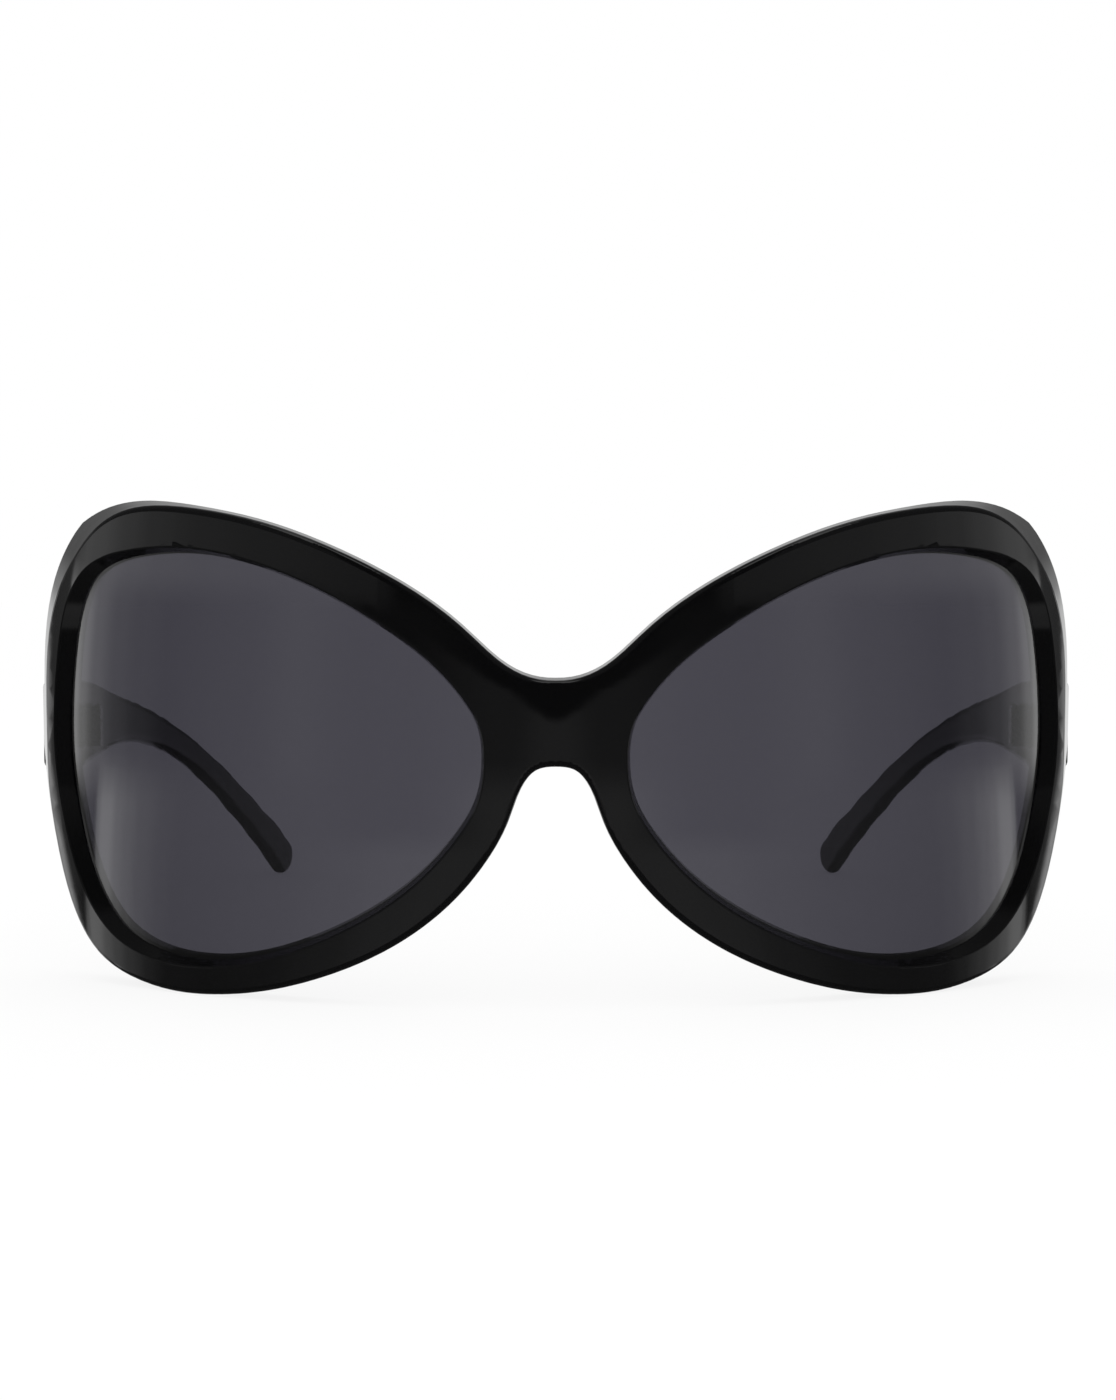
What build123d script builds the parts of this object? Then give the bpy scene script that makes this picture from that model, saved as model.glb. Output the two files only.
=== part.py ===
from build123d import *
from math import asin, atan2, cos, degrees, hypot, radians, sin, sqrt, tan
import os

# Butterfly sunglasses, open and standing on a table. Sizes are in millimetres and angles in degrees.
# X runs across the face towards the wearer's left, Y runs back towards the ears, Z runs up.
# The sizes are laid out from the front of the bridge; the finished pieces are then moved together so that
# the origin lies under the middle of the glasses, on the plane that the rims and temple tips stand on.

# Wrap of the front face: two tangent arcs in plan, one upright arc from the side
bridge_wrap_radius = 140.0
bridge_wrap_reach = 25.0
side_wrap_radius = 80.0
side_wrap_end = 80.0
upright_radius = 230.0
upright_height = 36.0

# Front moulding
face_half_width = 74.3
front_height = 69.5
front_thickness = 6.5
face_round = 1.0
back_round = 0.9
rim_top = 5.55
rim_bottom = 4.1
rim_side = 1.2
bridge_half_width = 10.0

# Lens openings with their bevelled edge, lenses and grooves
bevel_width = 1.1
bevel_lip = 0.2
opening_round = 0.3
opening_lean = 0.08
lens_recess = 1.8
lens_thickness = 1.8
groove_depth = 0.8
lens_gap = 0.05

# Nose pads, moulded in one with the rims
pad_length = 15.0
pad_width = 3.4
pad_reach = 5.0
pad_across = 10.5
pad_height = 24.0
pad_tilt = 31.0
pad_splay = 12.0
pad_round = 1.5

# End pieces, where the temples join
rim_wall = 6.0
seam_behind_rim = 3.5
seam_gap = 0.3
joint_bottom = 29.6
joint_height = 13.3
joint_thickness = 6.6
end_piece_flare = 3.5
end_piece_length = 6.5
joint_round = 1.2

# Temples
temple_reach = 155.0
tip_radius = 3.1
tip_slope = 38.0
temple_round = 1.2

# Hinges: two knuckles on the front leaf, one on the temple leaf, a slotted screw through all three
hinge_height = 36.0
knuckle_radius = 1.25
knuckle_length = 1.8
knuckle_gap = 0.08
knuckle_clear = 0.2
leaf_thickness = 0.9
leaf_sink = 0.3
front_leaf_length = 3.2
temple_leaf_length = 6.4
leaf_gap = 0.05
anchor_length = 2.2
anchor_size = 1.8
screw_radius = 0.65
screw_gap = 0.05
screw_head_radius = 1.1
screw_head_height = 0.6
slot_width = 0.35
slot_depth = 0.3

# How far every cutting tool runs past what it cuts
overrun = 2.0

# Where edges are sampled
edge_sample_shares = (0.1, 0.35, 0.5, 0.75, 0.9)

# Outline of the face from the top of the bridge, round the temple side, to the arch over the nose.
# Each point: share of the half width, share of the front height, and how far the wall behind it flares out.
outline_shares = [
    (0.0, 0.665, 0.0),
    (0.088, 0.691, 0.0),
    (0.171, 0.767, 0.0),
    (0.284, 0.854, 0.0),
    (0.420, 0.926, 0.0),
    (0.560, 0.977, 0.0),
    (0.700, 0.998, 0.02),
    (0.800, 0.991, 0.10),
    (0.880, 0.953, 0.22),
    (0.943, 0.882, 0.27),
    (0.981, 0.783, 0.25),
    (0.997, 0.668, 0.20),
    (1.000, 0.540, 0.17),
    (0.997, 0.420, 0.16),
    (0.981, 0.305, 0.13),
    (0.950, 0.170, 0.08),
    (0.905, 0.078, 0.04),
    (0.838, 0.025, 0.0),
    (0.755, 0.001, 0.0),
    (0.672, 0.0, 0.0),
    (0.578, 0.012, 0.0),
    (0.445, 0.052, 0.0),
    (0.308, 0.121, 0.0),
    (0.196, 0.214, 0.0),
    (0.128, 0.303, 0.0),
    (0.088, 0.383, 0.0),
    (0.063, 0.452, 0.0),
    (0.036, 0.485, 0.0),
    (0.0, 0.492, 0.0),
]

# Edge of a lens opening on the face, as shares of its width from the nose side and of its height, with the
# width of the bevel inside it
opening_shares = [
    (0.0, 0.522, 0.25),
    (0.016, 0.415, 0.25),
    (0.064, 0.328, 0.25),
    (0.162, 0.216, 0.25),
    (0.282, 0.127, 0.27),
    (0.412, 0.060, 0.32),
    (0.539, 0.016, 0.40),
    (0.660, 0.0, 0.52),
    (0.770, 0.013, 0.68),
    (0.856, 0.057, 0.84),
    (0.914, 0.130, 0.95),
    (0.954, 0.230, 1.0),
    (0.981, 0.352, 1.0),
    (0.997, 0.468, 1.0),
    (1.0, 0.580, 1.0),
    (0.990, 0.726, 1.0),
    (0.968, 0.850, 0.92),
    (0.930, 0.925, 0.76),
    (0.876, 0.966, 0.60),
    (0.790, 0.991, 0.44),
    (0.672, 0.999, 0.33),
    (0.545, 0.979, 0.27),
    (0.385, 0.921, 0.25),
    (0.222, 0.828, 0.25),
    (0.097, 0.725, 0.25),
    (0.024, 0.628, 0.25),
]

# Upper and lower edge of a temple from the side, as shares of its run from seam to tip and of the height of
# the joint's top above the table
upper_edge_shares = [
    (0.0, 1.0),
    (0.139, 0.960),
    (0.277, 0.897),
    (0.395, 0.836),
    (0.492, 0.775),
    (0.594, 0.690),
    (0.708, 0.566),
    (0.811, 0.423),
    (0.894, 0.294),
]
lower_edge_shares = [
    (0.898, 0.133),
    (0.834, 0.246),
    (0.737, 0.404),
    (0.633, 0.535),
    (0.521, 0.631),
    (0.438, 0.670),
    (0.333, 0.693),
    (0.199, 0.692),
]

# Temple from above: share of the run, share of the inner side's distance from the midline,
# share of the thickness at the seam
temple_plan_shares = [
    (0.0, 1.0, 1.0),
    (0.070, 1.001, 0.98),
    (0.160, 0.998, 0.82),
    (0.300, 0.983, 0.57),
    (0.430, 0.951, 0.46),
    (0.550, 0.906, 0.42),
    (0.700, 0.836, 0.40),
    (0.820, 0.769, 0.40),
    (0.920, 0.710, 0.40),
    (1.02, 0.648, 0.40),
]

# Values worked out from the sizes above
joint_top = joint_bottom + joint_height
knuckle_pitch = knuckle_length + knuckle_gap
hinge_stack = 3 * knuckle_length + 2 * knuckle_gap
wrap_turn = asin(bridge_wrap_reach / bridge_wrap_radius)


def wrap_arc(across):
    """Radius and plan centre of the arc that the face follows at a distance from the midline."""
    if across <= bridge_wrap_reach:
        return bridge_wrap_radius, 0, bridge_wrap_radius
    drop = bridge_wrap_radius - side_wrap_radius
    return side_wrap_radius, drop * sin(wrap_turn), bridge_wrap_radius - drop * cos(wrap_turn)


def face_depth(across, height):
    """Distance of the face behind the front of the bridge."""
    radius, centre_x, centre_y = wrap_arc(abs(across))
    reach = radius - upright_radius + sqrt(upright_radius**2 - (height - upright_height)**2)
    return centre_y - sqrt(reach**2 - (abs(across) - centre_x)**2)


def deepest_face():
    """Depth of the outline's deepest point on the face, at the temple side."""
    places = [(across * face_half_width, up * front_height) for across, up, flare in outline_shares]
    return max(face_depth(x, z) for x, z in places)


def seam_outer():
    """Distance from the midline of the end piece's outer side at the seam."""
    across, up, flare = max(outline_shares)
    x = across * face_half_width
    return x + flare * (seam_depth - face_depth(x, up * front_height))


# Places that follow from the wrap: back of the rim, seam of the temple, hinge
rim_back = deepest_face() + rim_wall
seam_depth = rim_back + seam_behind_rim
temple_start = seam_depth + seam_gap
inner_side = seam_outer() - joint_thickness
axis_across = inner_side - knuckle_radius - knuckle_clear
axis_depth = seam_depth + seam_gap / 2


def inward_lean(across, height):
    """Sideways and upward travel, for each millimetre back, of a line that enters the face squarely."""
    radius, centre_x, centre_y = wrap_arc(across)
    back = centre_y - face_depth(across, height)
    tilt = asin((height - upright_height) / upright_radius)
    return (centre_x - across) / back, -tan(tilt) * hypot(across - centre_x, back) / back


def outward_ways(points):
    """Unit directions square to an outline that runs clockwise, one for each of its points."""
    ways = []
    for index, (x, z) in enumerate(points):
        before = points[index - 1]
        after = points[(index + 1) % len(points)]
        run = hypot(after[0] - before[0], after[1] - before[1])
        ways.append(((before[1] - after[1]) / run, (after[0] - before[0]) / run))
    return ways


def skin_arc(radius, centre_x, centre_y, near, far, start, sweep):
    """Part of the curved skin between two depths under the face, turned about one plan centre."""
    low = -front_height / 2
    high = front_height * 3 / 2
    core = radius - upright_radius

    def section_point(depth, height):
        """Point of the section at a depth under the face."""
        return core + sqrt((upright_radius - depth)**2 - (height - upright_height)**2), height

    outer = ThreePointArc(*[section_point(near, height) for height in (low, upright_height, high)])
    inner = ThreePointArc(*[section_point(far, height) for height in (high, upright_height, low)])
    section = ring_face(outer, inner)
    axis = Axis((centre_x, centre_y, 0), (0, 0, 1))
    upright = Plane(origin=(centre_x, centre_y, 0), x_dir=(0, -1, 0), z_dir=(-1, 0, 0))
    turned = (upright * section).rotate(axis, degrees(start))
    return revolve(turned, axis=axis, revolution_arc=degrees(sweep))


def skin(near, far):
    """The curved skin of the wearer's left half of the front between two depths under the face."""
    middle = skin_arc(*wrap_arc(0), near, far, -wrap_turn, 2 * wrap_turn)
    side = skin_arc(*wrap_arc(face_half_width), near, far, wrap_turn, radians(side_wrap_end) - wrap_turn)
    return middle + side


def depth_under_face(point):
    """How far a point lies under the face, measured squarely to it."""
    radius, centre_x, centre_y = wrap_arc(point.X)
    level = hypot(point.X - centre_x, centre_y - point.Y) - (radius - upright_radius)
    return upright_radius - hypot(level, point.Z - upright_height)


def edges_where(shape, is_there):
    """Edges that keep to a place, without those in the mirror plane or where two arcs of the skin meet."""
    slack = leaf_gap / 2
    chosen = []
    for edge in shape.edges():
        samples = [edge @ share for share in edge_sample_shares]
        seam = max(abs(atan2(point.X, bridge_wrap_radius - point.Y) - wrap_turn) for point in samples)
        in_mirror_plane = max(point.X for point in samples) < slack
        if all(is_there(point, slack) for point in samples) and seam > slack / bridge_wrap_radius:
            if not in_mirror_plane:
                chosen.append(edge)
    return chosen


def on_face(point, slack):
    """Whether a point lies on the face."""
    return abs(depth_under_face(point)) < slack


def on_back(point, slack):
    """Whether a point lies on the back of the slab or on the flat back of the rim's side wall."""
    return abs(depth_under_face(point) - front_thickness) < slack or abs(point.Y - rim_back) < slack


def ring_face(first, second):
    """Face between two curves that run opposite ways, closed by straight lines at their ends."""
    return make_face(Wire([first, Line(first @ 1, second @ 0), second, Line(second @ 1, first @ 0)]))


def walled_solid(points, leans):
    """Solid whose walls pass through points of the face, each with its own lean, back to the temple seam."""
    wires = []
    for depth in (-overrun, seam_depth):
        placed = []
        for (x, z), (lean_x, lean_z) in zip(points, leans):
            back = depth - face_depth(x, z)
            placed.append((x + back * lean_x, depth, z + back * lean_z))
        wires.append(Wire([Spline(*placed, periodic=True)]))
    return Solid.make_loft(wires, ruled=True)


def outer_walls():
    """Everything inside the side walls of the wearer's left half of the front."""
    half = [(across * face_half_width, up * front_height, flare) for across, up, flare in outline_shares]
    other = [(-x, z, flare) for x, z, flare in reversed(half[1:-1])]
    ring = half + other
    points = [(x, z) for x, z, flare in ring]
    leans = [(flare * x, flare * z) for (x, z), (*place, flare) in zip(outward_ways(points), ring)]
    left_half = Pos(face_half_width, 0, front_height / 2) * Box(
        2 * face_half_width, 4 * seam_depth, 2 * front_height)
    return walled_solid(points, leans) & left_half


def opening_rings():
    """Edge of the wearer's left opening on the face, and where its inner walls meet the face."""
    width = face_half_width - rim_side - bridge_half_width
    height = front_height - rim_top - rim_bottom
    edge = []
    for across, up, share in reversed(opening_shares):
        edge.append((bridge_half_width + across * width, rim_bottom + up * height))
    walls = []
    for (x, z), (out_x, out_z), (*place, share) in zip(edge, outward_ways(edge), reversed(opening_shares)):
        walls.append((x - share * bevel_width * out_x, z - share * bevel_width * out_z))
    return edge, walls


def wall_leans(ring):
    """Sideways and upward travel, for each millimetre back, of the opening's walls at a ring's points."""
    leans = []
    for (x, z), (out_x, out_z) in zip(ring, outward_ways(ring)):
        lean_x, lean_z = inward_lean(x, z)
        leans.append((lean_x - opening_lean * out_x, lean_z - opening_lean * out_z))
    return leans


def opening_solid(grow):
    """What passes through the wearer's left lens opening inside its bevel, grown outwards all round."""
    edge, ring = opening_rings()
    points = []
    for (x, z), (out_x, out_z) in zip(ring, outward_ways(ring)):
        points.append((x + grow * out_x, z + grow * out_z))
    return walled_solid(points, wall_leans(ring))


def rear_opening():
    """Way out behind the lens, with walls that run straight back from the lens's rear edge."""
    edge, ring = opening_rings()
    points = []
    for (x, z), (lean_x, lean_z) in zip(ring, wall_leans(ring)):
        back = (lens_recess + lens_thickness) / hypot(1, lean_x, lean_z)
        points.append((x + back * lean_x, z + back * lean_z))
    straight = [(0, 0)] * len(points)
    return walled_solid(points, straight) & skin(lens_recess + lens_thickness / 2, front_thickness + overrun)


def bevel_band():
    """Ruled surface from in front of the opening's edge on the face to behind the lip over the lens."""
    edge, ring = opening_rings()
    outer = []
    inner = []
    for (edge_x, edge_z), (x, z), (lean_x, lean_z) in zip(edge, ring, wall_leans(ring)):
        start = (edge_x, face_depth(edge_x, edge_z), edge_z)
        back = (lens_recess - bevel_lip) / hypot(1, lean_x, lean_z)
        stop = (x + back * lean_x, face_depth(x, z) + back, z + back * lean_z)
        outer.append(tuple(2 * near - far for near, far in zip(start, stop)))
        inner.append(tuple(2 * far - near for near, far in zip(start, stop)))
    return Face.make_surface_from_curves(Spline(*outer, periodic=True), Spline(*inner, periodic=True))


def build_lens():
    """Curved lens that fills the opening and enters the groove round it."""
    return opening_solid(groove_depth - lens_gap) & skin(lens_recess, lens_recess + lens_thickness)


def end_piece(outer):
    """Lug behind the rim that the temple butts against."""
    front = seam_depth - end_piece_length
    top = Spline((seam_depth, joint_top), (front, joint_top + end_piece_flare), tangents=[(-1, 0), (-1, 1)])
    low_front = (front, joint_bottom - end_piece_flare)
    bottom = Spline(low_front, (seam_depth, joint_bottom), tangents=[(1, 1), (1, 0)])
    side = ring_face(top, bottom)
    lug = extrude(Plane.YZ.offset(inner_side) * side, amount=face_half_width) & outer
    long_edges = [edge for edge in lug.edges() if abs((edge @ 1).Y - (edge @ 0).Y) > end_piece_length / 2]
    return fillet(long_edges, joint_round)


def nose_pad():
    """Pad that stands back from the nose side of the rim and leans outwards to fit the side of the nose."""
    under = lens_recess + lens_thickness + (front_thickness - lens_recess - lens_thickness) / 2
    foot = (pad_across, face_depth(pad_across, pad_height) + under, pad_height)
    along = (-sin(radians(pad_tilt)), 0, cos(radians(pad_tilt)))
    lean = sin(radians(pad_splay))
    back = (lean * along[2], cos(radians(pad_splay)), -lean * along[0])
    base = Plane(origin=foot, x_dir=along, z_dir=back)
    pad = extrude(base * SlotOverall(pad_length, pad_width), amount=front_thickness - under + pad_reach)
    return fillet(pad.faces().sort_by(Axis(foot, back))[-1].edges(), pad_round)


def leaf(way, levels, length, grow=0):
    """Flat part of a hinge leaf with its necks and anchor; way is 1 for the temple's, -1 for the front's."""
    reach = knuckle_radius + knuckle_clear
    inner = inner_side + leaf_sink - leaf_thickness - grow
    outer = inner_side + leaf_sink + grow
    middle = axis_depth + way * (reach + length / 2)
    plate = Box(outer - inner, length + 2 * grow, hinge_stack + 2 * grow)
    body = Pos((inner + outer) / 2, middle, hinge_height) * plate
    for level in levels:
        neck = Box(outer - axis_across, reach + grow, knuckle_length + 2 * grow)
        height = hinge_height + level * knuckle_pitch
        body += Pos((axis_across + outer) / 2, axis_depth + way * (reach + grow) / 2, height) * neck
    anchor = Box(anchor_length + grow, anchor_size + 2 * grow, anchor_size + 2 * grow)
    return body + Pos(outer + (anchor_length + grow) / 2, middle, hinge_height) * anchor


def build_hinge_leaf(way, levels, length):
    """Hinge leaf with its knuckles, bored for the screw."""
    body = leaf(way, levels, length)
    for level in levels:
        at_knuckle = Pos(axis_across, axis_depth, hinge_height + level * knuckle_pitch)
        body += at_knuckle * Cylinder(knuckle_radius, knuckle_length)
    bore = Cylinder(screw_radius + screw_gap, hinge_stack + 2 * overrun)
    return body - Pos(axis_across, axis_depth, hinge_height) * bore


def build_screw():
    """Slotted hinge screw: head on the upper knuckle, shank flush with the end of the lower one."""
    top = hinge_height + hinge_stack / 2
    shank = Pos(axis_across, axis_depth, hinge_height) * Cylinder(screw_radius, hinge_stack)
    head = Cylinder(screw_head_radius, screw_head_height)
    head = fillet(head.edges().filter_by(GeomType.CIRCLE).sort_by(Axis.Z)[-1], screw_head_height / 3)
    head = Pos(axis_across, axis_depth, top + screw_head_height / 2) * head
    slot = Pos(axis_across, axis_depth, top + screw_head_height) * Box(
        slot_width, 2 * screw_head_radius + overrun, 2 * slot_depth)
    return shank + head - slot


def build_front():
    """The moulded front: rims, bridge, nose pads and end pieces in one."""
    outer = outer_walls()
    half = outer & skin(0, front_thickness)
    half -= Pos(face_half_width, rim_back + face_half_width, front_height / 2) * Box(
        face_half_width, 2 * face_half_width, 3 * front_height)
    half = fillet(edges_where(half, on_face), face_round)
    half = fillet(edges_where(half, on_back), back_round)
    half += end_piece(outer)
    half -= opening_solid(0)
    half = half.split(bevel_band(), keep=Keep.ALL).sort_by(SortBy.VOLUME)[-1]
    half = fillet(edges_where(half, on_face), opening_round)
    groove = skin(lens_recess - lens_gap, lens_recess + lens_thickness + lens_gap)
    half -= opening_solid(groove_depth) & groove
    half -= rear_opening()
    half += nose_pad()
    half -= leaf(-1, (1, -1), front_leaf_length, leaf_gap)
    return half + mirror(half, Plane.YZ)


def build_temple():
    """Temple, cut to its side view and its plan, with a paddle tip that rests on the table."""
    run = temple_reach - temple_start
    slope = (cos(radians(tip_slope)), -sin(radians(tip_slope)))
    tip = (temple_reach - tip_radius, tip_radius)
    tip_top = (tip[0] - tip_radius * slope[1], tip[1] + tip_radius * slope[0])
    tip_end = (tip[0] + tip_radius * slope[0], tip[1] + tip_radius * slope[1])
    tip_bottom = (tip[0] + tip_radius * slope[1], tip[1] - tip_radius * slope[0])
    high = [(temple_start + along * run, up * joint_top) for along, up in upper_edge_shares] + [tip_top]
    low = [tip_bottom] + [(temple_start + along * run, up * joint_top) for along, up in lower_edge_shares]
    low.append((temple_start, joint_bottom))
    top = Spline(*high, tangents=[(high[1][0] - high[0][0], high[1][1] - high[0][1]), slope])
    bottom = Spline(*low, tangents=[(-slope[0], -slope[1]), (-1, 0)])
    seam = Line(bottom @ 1, top @ 0)
    side = make_face(Wire([top, ThreePointArc(tip_top, tip_end, tip_bottom), bottom, seam]))
    inner = []
    outer = []
    for along, across, thick in temple_plan_shares:
        inner.append((across * inner_side, temple_start + along * run))
        outer.append((across * inner_side + thick * joint_thickness, temple_start + along * run))
    plan = ring_face(Spline(*inner), Spline(*reversed(outer)))
    band = extrude(Pos(0, 0, -overrun) * plan, amount=front_height)
    blade = extrude(Plane.YZ * side, amount=2 * face_half_width) & band
    long_edges = [edge for edge in blade.edges() if abs((edge @ 0).Y - (edge @ 1).Y) > temple_round]
    blade = fillet(long_edges, temple_round)
    return blade - leaf(1, (0,), temple_leaf_length, leaf_gap)


def build_half():
    """The pieces of the wearer's left side, and the front, by name."""
    return {
        "lens": build_lens(),
        "temple": build_temple(),
        "hinge_front_leaf": build_hinge_leaf(-1, (1, -1), front_leaf_length),
        "hinge_temple_leaf": build_hinge_leaf(1, (0,), temple_leaf_length),
        "hinge_screw": build_screw(),
    }


def main():
    """Build every piece, move them together over the table's middle and write one file for each."""
    pieces = {"front_frame": build_front()}
    for name, piece in build_half().items():
        pieces[name + "_left"] = piece
        pieces[name + "_right"] = mirror(piece, Plane.YZ)
    boxes = [piece.bounding_box() for piece in pieces.values()]
    front = min(box.min.Y for box in boxes)
    back = max(box.max.Y for box in boxes)
    table = min(box.min.Z for box in boxes)
    to_middle = Pos(0, -(front + back) / 2, -table)
    os.makedirs("parts", exist_ok=True)
    for name, piece in pieces.items():
        export_step(to_middle * piece, os.path.join("parts", name + ".step"))
    print("from the front of the bridge to the origin:", round((front + back) / 2, 3), "mm back")


if __name__ == "__main__":
    main()
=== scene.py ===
"""Butterfly sunglasses with smoke lenses, standing open on a pale studio floor."""

import logging
import math
from dataclasses import dataclass
from enum import Enum
from typing import ClassVar

import bpy
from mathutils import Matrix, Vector

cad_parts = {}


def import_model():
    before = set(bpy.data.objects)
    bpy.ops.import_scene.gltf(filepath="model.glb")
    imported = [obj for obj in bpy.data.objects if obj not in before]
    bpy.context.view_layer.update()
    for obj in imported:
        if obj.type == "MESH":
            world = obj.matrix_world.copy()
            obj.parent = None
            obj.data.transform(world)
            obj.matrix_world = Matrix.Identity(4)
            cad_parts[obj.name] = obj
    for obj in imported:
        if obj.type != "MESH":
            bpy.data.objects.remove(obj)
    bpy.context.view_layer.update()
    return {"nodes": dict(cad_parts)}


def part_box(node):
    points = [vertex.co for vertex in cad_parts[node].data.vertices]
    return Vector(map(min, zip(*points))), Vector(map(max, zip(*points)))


log = logging.getLogger("sunglasses")

# A place in metres, or a linear colour.
Triple = tuple[float, float, float]
# Places along a ramp, each with the value there.
Stops = tuple[tuple[float, float], ...]
# A number, a colour, or the socket that gives one.
Term = float | tuple[float, ...] | bpy.types.NodeSocket

WHITE = (1.0, 1.0, 1.0, 1.0)


class Side(Enum):
    """Side of the wearer that a piece belongs to."""

    LEFT = "left"
    RIGHT = "right"


class NodeSheet:
    """A material's or world's nodes, laid out from left to right."""

    STEP = 220.0
    # Where a mix node has its first term, its second term and its result.
    NUMBER_MIX = (2, 3, 0)
    COLOR_MIX = (6, 7, 2)

    def __init__(self, tree: bpy.types.NodeTree) -> None:
        """Clear the tree.

        Args:
            tree: The node tree to fill.
        """
        self.tree = tree
        self.count = 0
        tree.nodes.clear()

    def add(self, kind: str, **settings: str | bool) -> bpy.types.Node:
        """Add one node.

        Args:
            kind: The node's type name.
            settings: Properties set on the node.

        Returns:
            The new node.
        """
        node = self.tree.nodes.new(kind)
        node.location = (self.STEP * self.count, 0.0)
        self.count += 1
        for name, value in settings.items():
            setattr(node, name, value)
        return node

    def link(self, source: bpy.types.NodeSocket, target: bpy.types.NodeSocket) -> None:
        """Join an output to an input."""
        self.tree.links.new(source, target)

    def feed(self, target: bpy.types.NodeSocket, term: Term) -> None:
        """Give an input its value, or the socket that it reads.

        Args:
            target: The input.
            term: The value or the socket.
        """
        if isinstance(term, bpy.types.NodeSocket):
            self.link(term, target)
        else:
            target.default_value = term

    def math(self, operation: str, *terms: Term, clamp: bool = False) -> bpy.types.NodeSocket:
        """Add a sum.

        Args:
            operation: Name of the sum, such as MULTIPLY.
            terms: Its one or two terms.
            clamp: Whether the result is kept between 0 and 1.

        Returns:
            The result's socket.
        """
        node = self.add("ShaderNodeMath", operation=operation, use_clamp=clamp)
        for socket, term in zip(node.inputs, terms):
            self.feed(socket, term)
        return node.outputs[0]

    def mix(self, share: bpy.types.NodeSocket, under: Term, over: Term,
            color: bool = False) -> bpy.types.NodeSocket:
        """Mix two numbers or two colours.

        Args:
            share: How much of the second shows.
            under: The first.
            over: The second.
            color: Whether they are colours.

        Returns:
            The result's socket.
        """
        node = self.add("ShaderNodeMix", data_type="RGBA" if color else "FLOAT")
        first, second, result = self.COLOR_MIX if color else self.NUMBER_MIX
        self.link(share, node.inputs["Factor"])
        self.feed(node.inputs[first], under)
        self.feed(node.inputs[second], over)
        return node.outputs[result]

    def ramp(self, value: bpy.types.NodeSocket, stops: Stops) -> bpy.types.NodeSocket:
        """Add a smooth ramp of greys.

        Args:
            value: The socket that the ramp reads, from 0 to 1.
            stops: Place and grey of each stop.

        Returns:
            The grey's socket.
        """
        node = self.add("ShaderNodeValToRGB")
        node.color_ramp.interpolation = "EASE"
        self.link(value, node.inputs["Fac"])
        elements = node.color_ramp.elements
        while len(elements) < len(stops):
            elements.new(1.0)
        while len(elements) > len(stops):
            elements.remove(elements[-1])
        for element, (place, grey) in zip(elements, stops):
            element.position = place
            element.color = (grey, grey, grey, 1.0)
        return node.outputs["Color"]


@dataclass(frozen=True)
class Noise:
    """Fine unevenness of a surface.

    Args:
        scale: Repeats in a metre.
        detail: Octaves of the noise.
        roughness_spread: How far the roughness strays on each side.
        bump_height: Height of the relief in metres.
    """

    scale: float
    detail: float
    roughness_spread: float
    bump_height: float


@dataclass(frozen=True)
class Finish:
    """A surface finish that a maker would name.

    Args:
        name: Name of the material.
        color: Linear colour.
        roughness: Mean roughness of the shine.
        noise: Fine unevenness.
        ior: Index of refraction.
        metallic: Share of metal.
        transmission: Share of the light that passes through.
        slant_color: Linear colour at the slant angle, where the light's way through is longer.
    """

    # Degrees from straight on where the slant colour is reached.
    SLANT_ANGLE: ClassVar[float] = 60.0
    # The blend at which a layer's facing is one less the cosine of the viewing angle.
    COSINE_BLEND: ClassVar[float] = 0.5

    name: str
    color: Triple
    roughness: float
    noise: Noise
    ior: float = 1.5
    metallic: float = 0.0
    transmission: float = 0.0
    slant_color: Triple | None = None

    def slanted(self, sheet: NodeSheet) -> bpy.types.NodeSocket:
        """Deepen the colour of a see-through piece where it is seen at a slant.

        Args:
            sheet: The material's nodes.

        Returns:
            The colour's socket.
        """
        layer = sheet.add("ShaderNodeLayerWeight")
        layer.inputs["Blend"].default_value = self.COSINE_BLEND
        full_at = 1.0 - math.cos(math.radians(self.SLANT_ANGLE))
        share = sheet.math("MULTIPLY", layer.outputs["Facing"], 1.0 / full_at, clamp=True)
        return sheet.mix(share, (*self.color, 1.0), (*self.slant_color, 1.0), color=True)

    def material(self) -> bpy.types.Material:
        """Build the material.

        Returns:
            The new material.
        """
        made = bpy.data.materials.new(self.name)
        made.use_nodes = True
        sheet = NodeSheet(made.node_tree)
        place = sheet.add("ShaderNodeTexCoord")
        grain = sheet.add("ShaderNodeTexNoise")
        grain.inputs["Scale"].default_value = self.noise.scale
        grain.inputs["Detail"].default_value = self.noise.detail
        sheet.link(place.outputs["Object"], grain.inputs["Vector"])
        shine = sheet.add("ShaderNodeMapRange")
        shine.inputs["To Min"].default_value = max(0.0, self.roughness - self.noise.roughness_spread)
        shine.inputs["To Max"].default_value = self.roughness + self.noise.roughness_spread
        sheet.link(grain.outputs["Fac"], shine.inputs["Value"])
        relief = sheet.add("ShaderNodeBump")
        relief.inputs["Strength"].default_value = 1.0
        relief.inputs["Distance"].default_value = self.noise.bump_height
        sheet.link(grain.outputs["Fac"], relief.inputs["Height"])
        surface = sheet.add("ShaderNodeBsdfPrincipled")
        surface.inputs["Base Color"].default_value = (*self.color, 1.0)
        if self.slant_color:
            sheet.link(self.slanted(sheet), surface.inputs["Base Color"])
        surface.inputs["IOR"].default_value = self.ior
        surface.inputs["Metallic"].default_value = self.metallic
        surface.inputs["Transmission Weight"].default_value = self.transmission
        sheet.link(shine.outputs["Result"], surface.inputs["Roughness"])
        sheet.link(relief.outputs["Normal"], surface.inputs["Normal"])
        output = sheet.add("ShaderNodeOutputMaterial")
        sheet.link(surface.outputs["BSDF"], output.inputs["Surface"])
        return made


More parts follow.
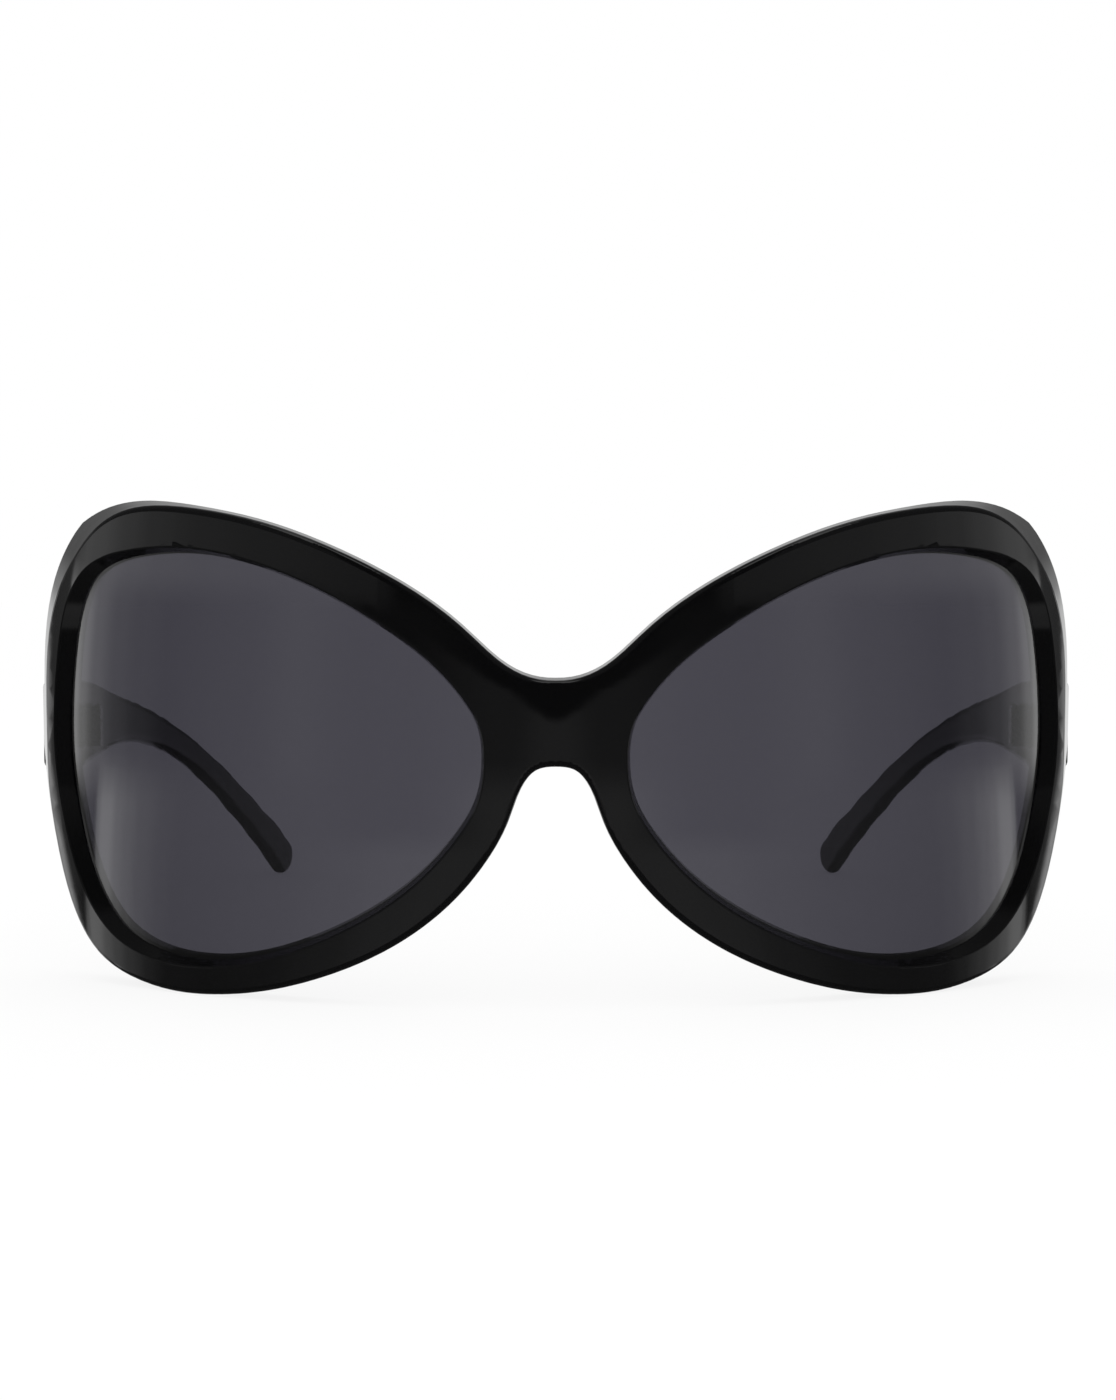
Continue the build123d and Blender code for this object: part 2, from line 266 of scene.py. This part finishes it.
POLISHED_BLACK = Finish(
    "polished_black_plastic", color=(0.0016, 0.0016, 0.0018), roughness=0.035,
    noise=Noise(scale=900.0, detail=4.0, roughness_spread=0.02, bump_height=0.0000008))
SMOKE_LENS = Finish(
    "smoke_lens", color=(0.066, 0.064, 0.079), roughness=0.012,
    noise=Noise(scale=700.0, detail=3.0, roughness_spread=0.008, bump_height=0.0000002),
    ior=1.58, transmission=1.0, slant_color=(0.026, 0.025, 0.033))
SATIN_NICKEL = Finish(
    "satin_nickel", color=(0.56, 0.55, 0.53), roughness=0.28,
    noise=Noise(scale=2600.0, detail=5.0, roughness_spread=0.08, bump_height=0.000002),
    metallic=1.0)
TURNED_STEEL = Finish(
    "turned_steel", color=(0.6, 0.6, 0.6), roughness=0.22,
    noise=Noise(scale=3200.0, detail=5.0, roughness_spread=0.07, bump_height=0.000002),
    metallic=1.0)


def paint(piece: bpy.types.Object, finish: Finish) -> None:
    """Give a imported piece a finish.

    Args:
        piece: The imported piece.
        finish: The finish.
    """
    material = bpy.data.materials.get(finish.name) or finish.material()
    for slot in piece.material_slots:
        slot.material = material
    log.info("%s is finished in %s", piece.name, finish.name)


@dataclass
class Front:
    """The moulded front and its two lenses.

    Args:
        nodes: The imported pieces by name.
    """

    nodes: dict[str, bpy.types.Object]

    def dress(self) -> None:
        """Give the front and the lenses their finishes."""
        paint(self.nodes["front_frame"], POLISHED_BLACK)
        for side in Side:
            paint(self.nodes[f"lens_{side.value}"], SMOKE_LENS)


@dataclass
class Temple:
    """One temple.

    Args:
        nodes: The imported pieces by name.
        side: The side it is on.
    """

    nodes: dict[str, bpy.types.Object]
    side: Side

    def dress(self) -> None:
        """Give the temple its finish."""
        paint(self.nodes[f"temple_{self.side.value}"], POLISHED_BLACK)


@dataclass
class Hinge:
    """One hinge: two leaves and a screw.

    Args:
        nodes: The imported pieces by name.
        side: The side it is on.
    """

    nodes: dict[str, bpy.types.Object]
    side: Side

    def dress(self) -> None:
        """Give the leaves and the screw their finishes."""
        for name in ("hinge_front_leaf", "hinge_temple_leaf"):
            paint(self.nodes[f"{name}_{self.side.value}"], SATIN_NICKEL)
        paint(self.nodes[f"hinge_screw_{self.side.value}"], TURNED_STEEL)


@dataclass(frozen=True)
class Band:
    """One band of the surroundings that the shine shows, from one height up or down.

    Args:
        stops: Degrees round from the front, and brightness there.
        rises_from: Degrees above the horizon where the band starts to show.
        full_at: Degrees above the horizon where it takes over from the bands before it.
        lean: Degrees that the band leans to the front for each degree up.
        upright_at: Degrees above the horizon where the stops are exact.
        fall: Degrees that both heights fall for each degree round from the front.
    """

    stops: Stops
    rises_from: float = 0.0
    full_at: float = 0.0
    lean: float = 0.0
    upright_at: float = 0.0
    fall: float = 0.0


@dataclass(frozen=True)
class Patch:
    """A patch of even brightness laid over the bands, the same on both sides.

    Args:
        brightness: Its brightness.
        round_stops: Degrees round from the front, and how much of the patch shows there.
        height_stops: Degrees above the horizon, and how much of the patch shows there.
        rise: Degrees that the height stops rise for each degree round from the front.
        lean_back: Degrees that the stops round from the front move back for each degree up.
        upright_at: Degrees above the horizon where those stops are exact.
        most_back: The most degrees that they move back.
    """

    brightness: float
    round_stops: Stops
    height_stops: Stops
    rise: float = 0.0
    lean_back: float = 0.0
    upright_at: float = 0.0
    most_back: float = 0.0


# The strongest brightness in the surroundings.
BRIGHTEST = 2.5

SIDE_TO_BACK = ((112.0, 0.2), (120.0, 0.4), (135.0, 0.6), (150.0, 0.7))
SIDE_TO_BACK_HIGH = ((112.0, 0.18), (165.0, 0.2), (176.0, 0.4))

# Dim in front, with a narrow bright strip at each side.
LEVEL_BAND = Band(
    stops=((0.0, 0.24), (5.0, 0.15), (40.0, 0.19), (55.0, 0.07), (74.0, 0.03), (83.0, 0.14), (90.0, 0.3),
           (97.0, 0.72), (101.5, 1.45), (103.9, 2.3), (104.9, 0.26), *SIDE_TO_BACK),
    lean=0.17)
# Paler in front, with the lower ends of the strips, and bright behind.
LOW_BAND = Band(
    rises_from=-6.0, full_at=-10.0,
    stops=((0.0, 0.29), (14.0, 0.31), (18.0, 0.28), (31.0, 0.19), (47.0, 0.12), (63.0, 0.1), (74.0, 0.11),
           (79.0, 0.2), (86.0, 0.44), (90.6, 0.73), (94.0, 1.0), (97.0, 1.5), (99.5, 1.5), (101.0, 1.0),
           (102.3, 0.12), (106.0, 0.2), (150.0, 1.0)),
    lean=0.8, upright_at=-14.0)
# Grey walls that brighten to the sides.
UPPER_BAND = Band(
    rises_from=8.0, full_at=11.0,
    stops=((0.0, 0.17), (22.0, 0.19), (50.0, 0.25), (65.0, 0.3), (79.0, 0.42), (86.0, 0.57), (95.0, 0.82),
           (99.0, 0.85), (102.0, 0.65), (104.5, 0.25), *SIDE_TO_BACK_HIGH),
    fall=0.06)
# Dim above the walls, pale overhead and dark below.
HIGH_BAND = Band(rises_from=14.0, full_at=18.0, stops=((0.0, 0.1), (155.0, 0.1), (175.0, 0.35)))
OVERHEAD_BAND = Band(rises_from=72.0, full_at=79.0, stops=((0.0, 1.0),))
UNDER_BAND = Band(rises_from=-25.0, full_at=-31.0, stops=((0.0, 0.07),))
BANDS_OVER_LEVEL = (LOW_BAND, UPPER_BAND, HIGH_BAND, OVERHEAD_BAND, UNDER_BAND)

# The dark in front, which the bridge shows with a V-shaped lower edge.
FRONT_SHADE = Patch(
    brightness=0.03, rise=0.42,
    round_stops=((0.0, 1.0), (19.0, 1.0), (24.5, 0.0)),
    height_stops=((-90.0, 0.0), (-3.384, 0.0), (-2.826, 1.0)))
# The dark that the bevels of the lens openings show.
BEVEL_SHADE = Patch(
    brightness=0.05,
    round_stops=((7.0, 0.0), (19.5, 1.0), (25.0, 1.0), (45.0, 0.0)),
    height_stops=((-14.4, 0.0), (-12.06, 1.0), (5.58, 1.0), (6.84, 0.0)))
# The glare along the rims' outer edges.
SIDE_GLARE = Patch(
    brightness=BRIGHTEST, lean_back=0.65, upright_at=-14.0, most_back=4.7,
    round_stops=((105.2, 0.0), (107.6, 1.0), (113.0, 1.0), (126.0, 0.15), (150.0, 0.1)),
    height_stops=((-32.4, 0.0), (-18.0, 1.0), (1.8, 1.0), (6.3, 0.0)))
PATCHES = (FRONT_SHADE, BEVEL_SHADE, SIDE_GLARE)


class Surroundings:
    """What the shine shows, a white background and an even light, as one world.

    Directions are written in degrees round from the front and degrees above the horizon. In the
    nodes both run from 0 to 1: from the front to the back, and from straight down to straight up.
    """

    HALF_TURN = 180.0
    HORIZON = 0.5

    def __init__(self, fill_light: float) -> None:
        """Start a new world with its two measures of direction.

        Args:
            fill_light: Even light from all round.
        """
        self.fill_light = fill_light
        world = bpy.data.worlds.new("studio")
        bpy.context.scene.world = world
        world.use_nodes = True
        self.sheet = NodeSheet(world.node_tree)
        self.around, self.height = self.directions()

    def directions(self) -> tuple[bpy.types.NodeSocket, bpy.types.NodeSocket]:
        """Work the two measures out of the direction's three parts.

        Returns:
            The way round from the front, and the height.
        """
        sheet = self.sheet
        way = sheet.add("ShaderNodeTexCoord")
        parts = sheet.add("ShaderNodeSeparateXYZ")
        sheet.link(way.outputs["Generated"], parts.inputs["Vector"])
        sideways = sheet.math("ABSOLUTE", parts.outputs["X"])
        forward = sheet.math("MULTIPLY", parts.outputs["Y"], -1.0)
        around = sheet.math("DIVIDE", sheet.math("ARCTAN2", sideways, forward), math.pi)
        upward = sheet.math("DIVIDE", sheet.math("ARCSINE", parts.outputs["Z"]), math.pi)
        return around, sheet.math("ADD", upward, self.HORIZON)

    def turned(self, degrees: float) -> float:
        """Turn degrees round from the front into the nodes' measure."""
        return degrees / self.HALF_TURN

    def raised(self, degrees: float) -> float:
        """Turn degrees above the horizon into the nodes' measure."""
        return degrees / self.HALF_TURN + self.HORIZON

    def above(self, degrees: float) -> bpy.types.NodeSocket:
        """Give the height over a level that is in degrees above the horizon."""
        return self.sheet.math("SUBTRACT", self.height, self.raised(degrees))

    def shifted(self, measure: bpy.types.NodeSocket, other: bpy.types.NodeSocket,
                rate: float) -> bpy.types.NodeSocket:
        """Shift one measure by a rate times the other."""
        return self.sheet.math("ADD", measure, self.sheet.math("MULTIPLY", other, rate))

    def along_round(self, around: bpy.types.NodeSocket, stops: Stops) -> bpy.types.NodeSocket:
        """Read stops that are placed in degrees round from the front."""
        return self.sheet.ramp(around, tuple((self.turned(degrees), value) for degrees, value in stops))

    def along_height(self, height: bpy.types.NodeSocket, stops: Stops) -> bpy.types.NodeSocket:
        """Read stops that are placed in degrees above the horizon."""
        return self.sheet.ramp(height, tuple((self.raised(degrees), value) for degrees, value in stops))

    def band_light(self, band: Band) -> bpy.types.NodeSocket:
        """Give a band's brightness in each direction.

        Args:
            band: The band.

        Returns:
            The brightness.
        """
        around = self.around
        if band.lean:
            around = self.shifted(around, self.above(band.upright_at), band.lean)
        greys = tuple((degrees, light / BRIGHTEST) for degrees, light in band.stops)
        return self.sheet.math("MULTIPLY", self.along_round(around, greys), BRIGHTEST)

    def band_share(self, band: Band) -> bpy.types.NodeSocket:
        """Give how far a band shows in each direction.

        Args:
            band: The band.

        Returns:
            The share, from 0 to 1.
        """
        height = self.height
        if band.fall:
            height = self.shifted(height, self.around, band.fall)
        ends = ((band.rises_from, 0.0), (band.full_at, 1.0))
        return self.along_height(height, tuple(sorted(ends)))

    def patch_share(self, patch: Patch) -> bpy.types.NodeSocket:
        """Give how far a patch shows in each direction.

        Args:
            patch: The patch.

        Returns:
            The share, from 0 to 1.
        """
        sheet = self.sheet
        around = self.around
        if patch.lean_back:
            back = sheet.math("MULTIPLY", self.above(patch.upright_at), patch.lean_back)
            back = sheet.math("MINIMUM", back, self.turned(patch.most_back))
            around = sheet.math("SUBTRACT", around, back)
        height = self.height
        if patch.rise:
            height = self.shifted(height, self.around, -patch.rise)
        across = self.along_round(around, patch.round_stops)
        upright = self.along_height(height, patch.height_stops)
        return sheet.math("MULTIPLY", across, upright)

    def build(self) -> None:
        """Lay the bands and patches over each other and light the scene with them."""
        sheet = self.sheet
        shown = self.band_light(LEVEL_BAND)
        for band in BANDS_OVER_LEVEL:
            shown = sheet.mix(self.band_share(band), shown, self.band_light(band))
        for patch in PATCHES:
            shown = sheet.mix(self.patch_share(patch), shown, patch.brightness)
        path = sheet.add("ShaderNodeLightPath")
        lit = sheet.mix(path.outputs["Is Glossy Ray"], self.fill_light, shown)
        seen = sheet.math("MAXIMUM", path.outputs["Is Camera Ray"], path.outputs["Is Transmission Ray"])
        light = sheet.add("ShaderNodeBackground")
        light.inputs["Color"].default_value = WHITE
        sheet.link(sheet.math("MAXIMUM", lit, seen), light.inputs["Strength"])
        output = sheet.add("ShaderNodeOutputWorld")
        sheet.link(light.outputs["Background"], output.inputs["Surface"])


@dataclass(frozen=True)
class Lamp:
    """A soft round lamp that faces the middle of the floor.

    Args:
        name: Name of the lamp.
        place: Where it hangs, in metres.
        size: Its width in metres.
        energy: Its power in watts.
    """

    name: str
    place: Triple
    size: float
    energy: float

    def hang(self) -> None:
        """Hang the lamp so that it shades the object without showing in its shine."""
        lamp = bpy.data.lights.new(self.name, "AREA")
        lamp.shape = "DISK"
        lamp.size = self.size
        lamp.energy = self.energy
        hung = bpy.data.objects.new(self.name, lamp)
        hung.location = self.place
        hung.rotation_euler = (-Vector(self.place)).to_track_quat("-Z", "Y").to_euler()
        hung.visible_glossy = False
        hung.visible_transmission = False
        bpy.context.scene.collection.objects.link(hung)


LAMPS = (
    Lamp("overhead", place=(0.0, -0.05, 1.0), size=1.2, energy=3.0),
    Lamp("left_soft", place=(-1.0, -0.25, 0.6), size=0.8, energy=0.6),
    Lamp("right_soft", place=(1.0, -0.25, 0.6), size=0.8, energy=0.6),
)


@dataclass
class Studio:
    """Floor, surroundings, lamps and camera.

    Args:
        front_y: Where the front of the bridge is.
        floor_half: Half the floor's width in metres.
        floor_grey: Grey of the floor as the light finds it.
        floor_glow: Share of the floor's white that shadows don't dim.
        glow_near: How far from the middle of the floor that share holds, in metres.
        glow_far: How far from the middle no shadow dims the floor, in metres.
        fill_light: Even light from all round.
        camera_reach: How far the camera stands in front of the bridge, in metres.
        camera_side: How far the camera stands to the side of the middle, in metres.
        camera_height: How far the camera stands above the floor, in metres.
        camera_pitch: How many degrees the camera looks down.
        camera_lens: Focal length in millimetres.
        camera_sensor: Height of the sensor in millimetres.
    """

    # Degrees that a camera looking straight down is raised by to look level.
    LEVEL: ClassVar[float] = 90.0

    front_y: float
    floor_half: float = 3.0
    floor_grey: float = 0.92
    floor_glow: float = 0.86
    glow_near: float = 0.25
    glow_far: float = 0.8
    fill_light: float = 0.9
    camera_reach: float = 0.6
    camera_side: float = 0.00031
    camera_height: float = 0.096515
    camera_pitch: float = 5.036
    camera_lens: float = 111.857
    camera_sensor: float = 36.0

    def floor_material(self) -> bpy.types.Material:
        """Build the floor's material, whose shadows fade away from the middle.

        Returns:
            The material.
        """
        material = bpy.data.materials.new("pale_floor")
        material.use_nodes = True
        sheet = NodeSheet(material.node_tree)
        path = sheet.add("ShaderNodeLightPath")
        seen = sheet.math("MAXIMUM", path.outputs["Is Camera Ray"], path.outputs["Is Transmission Ray"])
        shaded = sheet.add("ShaderNodeBsdfDiffuse")
        shaded.inputs["Color"].default_value = (self.floor_grey, self.floor_grey, self.floor_grey, 1.0)
        glow = sheet.add("ShaderNodeEmission")
        glow.inputs["Color"].default_value = WHITE
        place = sheet.add("ShaderNodeTexCoord")
        far = sheet.add("ShaderNodeVectorMath", operation="LENGTH")
        sheet.link(place.outputs["Object"], far.inputs[0])
        fade = sheet.ramp(far.outputs["Value"], (
            (0.0, self.floor_glow), (self.glow_near, self.floor_glow), (self.glow_far, 1.0)))
        mix = sheet.add("ShaderNodeMixShader")
        sheet.link(sheet.math("MULTIPLY", seen, fade), mix.inputs["Fac"])
        sheet.link(shaded.outputs["BSDF"], mix.inputs[1])
        sheet.link(glow.outputs["Emission"], mix.inputs[2])
        output = sheet.add("ShaderNodeOutputMaterial")
        sheet.link(mix.outputs["Shader"], output.inputs["Surface"])
        return material

    def build_floor(self) -> None:
        """Build the pale floor."""
        half = self.floor_half
        corners = [(-half, -half, 0.0), (half, -half, 0.0), (half, half, 0.0), (-half, half, 0.0)]
        mesh = bpy.data.meshes.new("studio_floor")
        mesh.from_pydata(corners, [], [tuple(range(len(corners)))])
        mesh.materials.append(self.floor_material())
        floor = bpy.data.objects.new("studio_floor", mesh)
        bpy.context.scene.collection.objects.link(floor)
        floor.visible_glossy = False

    def build_camera(self) -> None:
        """Place the camera at the photograph's viewing angle."""
        data = bpy.data.cameras.new("studio_camera")
        data.sensor_fit = "VERTICAL"
        data.sensor_height = self.camera_sensor
        data.lens = self.camera_lens
        camera = bpy.data.objects.new("studio_camera", data)
        camera.location = (self.camera_side, self.front_y - self.camera_reach, self.camera_height)
        camera.rotation_euler = (math.radians(self.LEVEL - self.camera_pitch), 0.0, 0.0)
        bpy.context.scene.collection.objects.link(camera)
        bpy.context.scene.camera = camera

    def build(self) -> None:
        """Build the whole studio."""
        self.build_floor()
        Surroundings(self.fill_light).build()
        for lamp in LAMPS:
            lamp.hang()
        self.build_camera()
        bpy.context.scene.view_settings.view_transform = "Standard"


def main() -> None:
    """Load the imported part, dress it and build the studio round it."""
    logging.basicConfig(level=logging.INFO)
    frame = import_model()
    nodes = frame["nodes"]
    Studio(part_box("front_frame")[0].y).build()
    Front(nodes).dress()
    for side in Side:
        Temple(nodes, side).dress()
        Hinge(nodes, side).dress()


if __name__ == "__main__":
    main()
